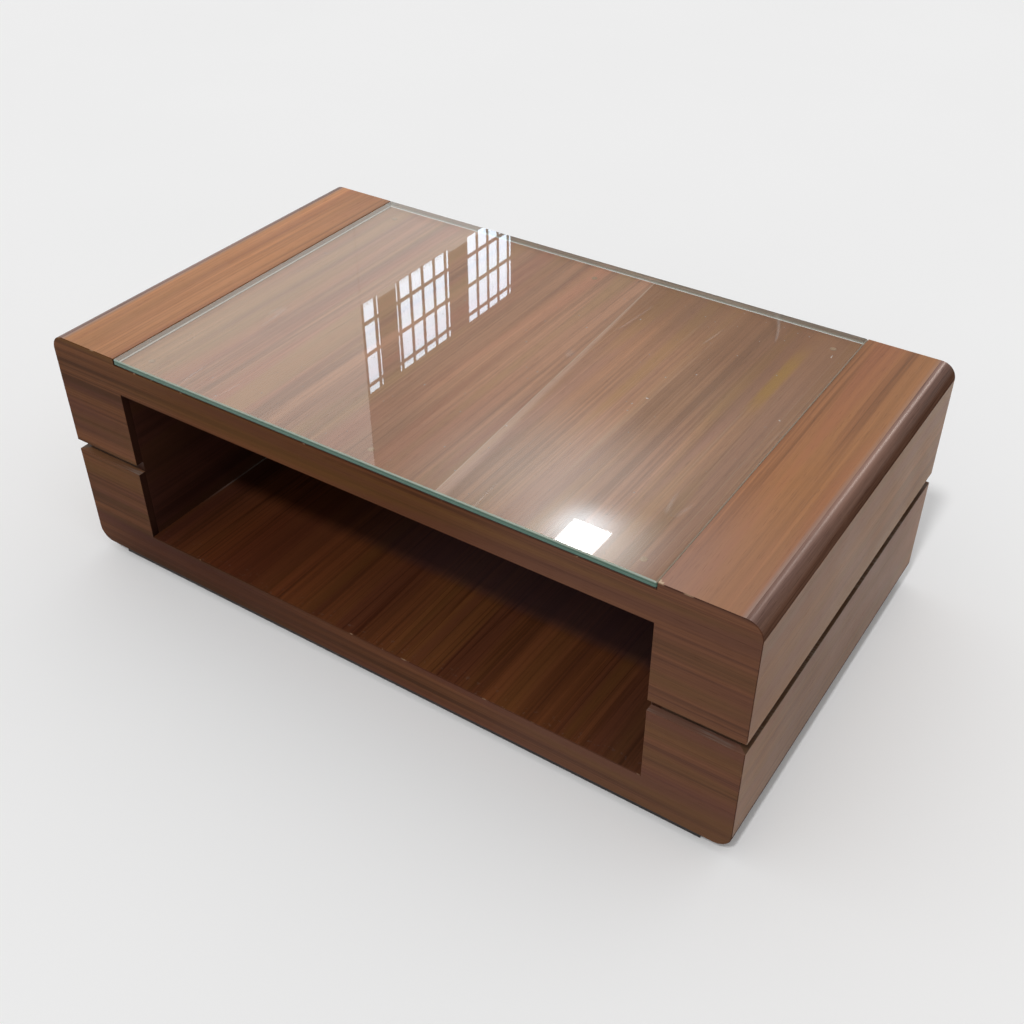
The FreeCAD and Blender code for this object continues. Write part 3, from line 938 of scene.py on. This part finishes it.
# %% Hardware rules
def turned(rule, radius, profile, around, along):
    """Closed bar of height 1 on Z: its mesh, x, y and height of a point, and the radius there."""
    counts = {"Vertices": around, "Side Segments": along, "Radius": 1.0, "Depth": 1.0}
    bar = rule.node("GeometryNodeMeshCylinder", {"fill_type": "NGON"}, counts, "Mesh")
    x, y, z = rule.position()
    height = z + 0.5
    share = rule.node("ShaderNodeFloatCurve", {"profile": profile}, {"Value": height})
    return bar, x, y, height, radius * share


def disc_rule(name, profile):
    """Small turned discs on every place."""
    rule = Rule(name)
    radius, length = rule.sizes("Radius", "Length")
    bar, x, y, height, reach = turned(rule, radius, profile, 40, 10)
    rule.deliver_on_places(rule.creased(rule.moved(bar, x * reach, y * reach, height * length)))
    return rule


def screw_rule(turns=14.0):
    """Countersunk wood screws with a thread and a cross slot, head down."""
    rule = Rule("wood_screws")
    radius, length, slot_width, slot_depth = rule.sizes("Radius", "Length", "Slot Width", "Slot Depth")
    profile = [(0.0, 1.0), (0.012, 1.0), (0.09, 0.44), (0.16, 0.40), (0.90, 0.40), (1.0, 0.12)]
    bar, x, y, height, reach = turned(rule, radius, profile, 20, 112)
    wind = (y.math("ARCTAN2", x) / math.tau + height * turns).math("FRACT")
    ridge = (1 - abs(wind - 0.5) * 4).math("MAXIMUM", 0.0) * (height > 0.2) * 0.10 * radius
    shank = rule.moved(bar, x * (reach + ridge), y * (reach + ridge), height * length)
    cutters = rule.node("GeometryNodeJoinGeometry")
    wide = radius * 1.2
    for across, along in ((wide, slot_width), (slot_width, wide)):
        extent = rule.node("ShaderNodeCombineXYZ", sockets={"X": across, "Y": along, "Z": slot_depth * 2})
        blade = rule.node("GeometryNodeMeshCube", sockets={"Size": extent}, output="Mesh")
        rule.tree.links.new(blade.socket, cutters.socket.node.inputs[0])
    cut = {"Mesh 1": shank, "Mesh 2": cutters}
    screw = rule.node("GeometryNodeMeshBoolean", {"operation": "DIFFERENCE"}, cut, "Mesh")
    rule.deliver_on_places(rule.creased(screw, 40.0))
    return rule


def dowel_rule(flutes=20):
    """Fluted dowels with chamfered ends, lying along X."""
    rule = Rule("fluted_dowels")
    radius, length = rule.sizes("Radius", "Length")
    profile = [(0.0, 0.8), (0.022, 1.0), (0.978, 1.0), (1.0, 0.8)]
    bar, x, y, height, reach = turned(rule, radius, profile, flutes * 6, 12)
    wave = (y.math("ARCTAN2", x) * flutes).math("COSINE")
    fluted = reach * (1 - 0.06 * (0.5 - wave * 0.5))
    peg = rule.moved(bar, (height - 0.5) * length, x * fluted, y * fluted)
    rule.deliver_on_places(rule.creased(peg, 40.0))
    return rule


print("Hardware rules ready")

# %% Hardware
skin_gap = 0.00004
screw_slot = 0.0012


def solid_boxes(node):
    """Lowest and highest corner of each separate solid in a CAD node."""
    copy = bmesh.new()
    copy.from_mesh(frame["nodes"][node].data)
    bmesh.ops.remove_doubles(copy, verts=copy.verts, dist=1e-6)
    waiting = set(copy.verts)
    boxes = []
    while waiting:
        island = [waiting.pop()]
        for vert in island:
            beside = {edge.other_vert(vert) for edge in vert.link_edges} & waiting
            waiting -= beside
            island.extend(beside)
        corners = list(zip(*(vert.co for vert in island)))
        boxes.append((Vector(map(min, corners)), Vector(map(max, corners))))
    copy.free()
    return sorted(boxes, key=lambda box: tuple(round(v, 5) for v in box[0]))


def set_of(node):
    """Size of one solid of a set, the middles of all, and the middles of their undersides."""
    boxes = solid_boxes(node)
    low, high = boxes[0]
    middles = [(first + second) / 2 for first, second in boxes]
    feet = [Vector((middle.x, middle.y, first.z)) for middle, (first, _) in zip(middles, boxes)]
    return high - low, middles, feet


bumper_rule = disc_rule("bumper_discs", [(0.0, 0.94), (0.2, 1.0), (0.55, 0.96), (0.85, 0.84), (1.0, 0.66)])
glide_rule = disc_rule("glide_discs", [(0.0, 0.84), (0.2, 0.93), (0.5, 0.985), (0.8, 1.0), (1.0, 1.0)])
for name, rule, slot, node in (
    ("glass_bumper_pads", bumper_rule, "clear_bumper", "glass_bumpers"),
    ("floor_glide_discs", glide_rule, "glide_plastic", "floor_glides"),
):
    size, _, feet = set_of(node)
    grow(name, rule, slot, node, feet, Radius=size.x / 2, Length=size.z - skin_gap)

screw_size, _, screw_feet = set_of("plinth_screws")
grow(
    "plinth_wood_screws", screw_rule(), "screw_steel", "plinth_screws", screw_feet,
    Radius=screw_size.x / 2, Length=screw_size.z, Slot_Width=screw_slot, Slot_Depth=screw_slot,
)
dowel_size, dowel_middles, _ = set_of("joint_dowels")
grow(
    "fluted_joint_dowels", dowel_rule(), "dowel_beech", "joint_dowels", dowel_middles,
    Radius=dowel_size.z / 2, Length=dowel_size.x,
)

# %% [markdown]
# ## Floor
# A pale floor keeps the eye on the table and takes its shadow. It could be a studio sweep, but a floor that
# is wide enough does the same. To the light that bounces off it the floor is less pale than to the eye, or
# it would light the table from below.

# %% Floor
floor_half = 40.0


def ray_share(graph, *kinds):
    """1 for rays of these kinds."""
    shares = [graph.node("ShaderNodeLightPath", output=f"Is {kind} Ray") for kind in kinds]
    return sum(shares[1:], shares[0]).math("MINIMUM", 1.0)


def floor_finish():
    """Pale floor, less pale to the light that bounces off it."""
    finish = Finish("studio_floor")
    matt = {"Roughness": 0.95, "Specular_IOR_Level": 0.0}
    pale = finish.tones(finish.even(1.5, 121.0), 0.2, (0.925,) * 3, (0.935,) * 3)
    shown = finish.principled(Base_Color=pale, **matt)
    bounced = finish.principled(Base_Color=(0.45, 0.44, 0.43, 1.0), **matt)
    seen = ray_share(finish, "Camera", "Glossy", "Transmission")
    finish.done(finish.blend(seen, bounced, shown))


floor_finish()
floor_mesh = bpy.data.meshes.new("studio_floor")
corners = [(x * floor_half, y * floor_half, 0.0) for x, y in ((-1, -1), (1, -1), (1, 1), (-1, 1))]
floor_mesh.from_pydata(corners, [], [range(len(corners))])
floor_mesh.materials.append(finishes["studio_floor"])
floor = bpy.data.objects.new("studio_floor", floor_mesh)
scene.collection.objects.link(floor)
floor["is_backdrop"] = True
print("Floor", 2 * floor_half, "m wide")

# %% [markdown]
# ## World
# The world gives soft light, brighter overhead than at the horizon, which models the faces. A sky texture
# could do that, but it brings a colour cast. What the camera sees of the world is the floor's own pale
# grey, so that no horizon shows. Mirrored rays see the same backdrop, which grows darker with height as a
# studio's does.

# %% World
backdrop_grey = 0.855


def studio_world():
    """Soft light that is brightest overhead, behind a plain pale background."""
    world = bpy.data.worlds.new("studio")
    world.use_nodes = True
    graph = Graph(world.node_tree)
    graph.tree.nodes.clear()
    up = graph.split(graph.node("ShaderNodeTexCoord", output="Generated"))[2]
    light = 0.25 + 0.60 * up.math("MAXIMUM", 0.0)
    shown = backdrop_grey * (1 - 0.75 * up.rise(0.05, 0.40) * ray_share(graph, "Glossy"))
    seen = ray_share(graph, "Camera", "Glossy", "Transmission")
    strength = light * (1 - seen) + shown * seen
    back = graph.node("ShaderNodeBackground", sockets={"Color": (1.0, 1.0, 1.0, 1.0), "Strength": strength})
    graph.node("ShaderNodeOutputWorld", sockets={"Surface": back}, output=None)
    return world


scene.world = studio_world()
print("World", scene.world.name, "with backdrop", backdrop_grey)

# %% [markdown]
# ## Lamps
# One broad sun from above the front throws the edge of the top slab's shadow onto the shelf. Glass and
# lacquer live from what they mirror, so a few softboxes stand round the table. They could light it too, but
# then each change to a highlight would change the whole picture, so they show in gloss alone. Most fade
# towards their edges, and three have a crate of dark bars in front.

# %% Softboxes
crate_bar, crate_across, crate_up, crate_top = 0.019, 0.081, 0.143, 0.04
white, daylight, sky, haze = (1.0, 1.0, 1.0), (0.70, 0.85, 1.0), (0.78, 0.92, 1.0), (0.86, 0.96, 1.0)
lamplight = (1.0, 0.90, 0.83)


def lamp(name, kind, place, aim, energy, **settings):
    """A lamp at a place, turned towards a point."""
    light = bpy.data.lights.new(name, kind)
    light.energy = energy
    for setting, value in settings.items():
        setattr(light, setting, value)
    made = bpy.data.objects.new(name, light)
    made.location = place
    made.rotation_euler = (Vector(aim) - Vector(place)).to_track_quat("-Z", "Y").to_euler()
    scene.collection.objects.link(made)
    return made


def softbox(name, place, towards, size, brightness, fade, colour=white, crate=None):
    """A bright rectangle that shows in gloss alone and fades over a share of its width at each edge.

    Where crate is given, dark bars lie over it, and the first upright one is so far from one side."""
    width, height = size
    energy = 4 * brightness * width * height
    shape = {"shape": "RECTANGLE", "size": width, "size_y": height, "use_nodes": True}
    made = lamp(name, "AREA", place, Vector(place) + Vector(towards), energy, **shape)
    made.visible_camera = False
    made.visible_diffuse = False
    graph = Graph(made.data.node_tree)
    graph.tree.nodes.clear()
    u, v, _ = graph.split(graph.node("ShaderNodeNewGeometry", output="Parametric"))
    strength = (0.5 - abs(u - 0.5)).rise(0.0, fade) * (0.5 - abs(v - 0.5)).rise(0.0, fade)
    if crate is not None:
        for distance, first, pitch in (
            ((1 - u) * width, crate, crate_across), ((1 - v) * height, crate_top, crate_up),
        ):
            from_bar = abs(((distance - first) / pitch + 0.5).math("FRACT") - 0.5) * pitch
            strength = strength * from_bar.rise(crate_bar * 0.4, crate_bar * 0.6)
    glow = graph.node("ShaderNodeEmission", sockets={"Color": (*colour, 1.0), "Strength": strength})
    graph.node("ShaderNodeOutputLight", sockets={"Surface": glow}, output=None)


print("Softbox bars", crate_bar, "m wide")

# %% Lamps
lamp("front_sun", "SUN", (0.15, -2.0, 3.0), (0.0, 0.0, 0.0), 1.0, angle=math.radians(5.0))

left_x, from_left, from_above = -2.0, (1, 0, 0), (0, 0, -1)
softbox("left_panel", (left_x, 0.984, 2.0), from_left, (1.968, 2.4), 0.56, 0.001)
softbox("low_panel", (left_x, 2.519, 1.33), from_left, (1.102, 1.06), 0.56, 0.001)
crate_spans = ((1.950, 2.070, 0.022), (2.187, 2.552, 0.018), (2.686, 3.031, 0.079))
for number, (near, far, first_bar) in enumerate(crate_spans, 1):
    middle = (left_x, (near + far) / 2, 2.05)
    softbox(f"left_softbox_{number}", middle, from_left, (far - near, 0.42), 3.2, 0.01, daylight, first_bar)

softbox("overhead_softbox", (-1.231, 2.436, 3.0), from_above, (0.205, 0.23), 9.0, 0.05)
softbox("overhead_bloom", (-1.335, 2.625, 3.1), from_above, (0.42, 0.42), 2.8, 0.5, sky)
softbox("overhead_halo", (-1.29, 2.56, 3.15), from_above, (0.86, 0.86), 2.5, 0.5, haze)
softbox("overhead_glow", (-1.72, 2.95, 3.2), from_above, (1.8, 1.8), 1.0, 0.5)
softbox("back_strip", (0.79, 3.2, 3.0), (-0.06, -1, 0), (0.30, 3.0), 16.0, 0.3, lamplight)

# %% [markdown]
# ## Camera
# The camera stands in front of the right corner and looks down on the table. It could be placed by eye, but
# its place, turn and lens were worked out from the table's own corners as they lie in the picture, so no
# shift is needed.

# %% Camera
camera_place = Vector((0.9369, -1.3522, 1.3919))
camera_turn, camera_tilt, camera_roll = 33.83, -37.92, -0.32
camera_lens, camera_sensor = 44.05, 36.0

camera_data = bpy.data.cameras.new("photo_camera")
camera_data.sensor_width = camera_sensor
camera_data.lens = camera_lens
camera = bpy.data.objects.new("photo_camera", camera_data)
turn = Matrix.Rotation(math.radians(camera_turn), 4, "Z")
tilt = Matrix.Rotation(math.radians(90 + camera_tilt), 4, "X")
roll = Matrix.Rotation(math.radians(camera_roll), 4, "Z")
camera.matrix_world = Matrix.Translation(camera_place) @ turn @ tilt @ roll
scene.collection.objects.link(camera)
scene.camera = camera
print("Camera", tuple(round(v, 3) for v in camera_place), "lens", camera_lens, "mm")

# %% [markdown]
# ## Print the size
# The finishes must not change the table's size, so the box of the solids and the box of what is shown now
# are written side by side.

# %% Sizes and finish
boxes = {"cad": cad_box, "visual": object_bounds()}
for name, (low, high) in boxes.items():
    print(name, "box in metres:", tuple(round(v, 4) for v in high - low))
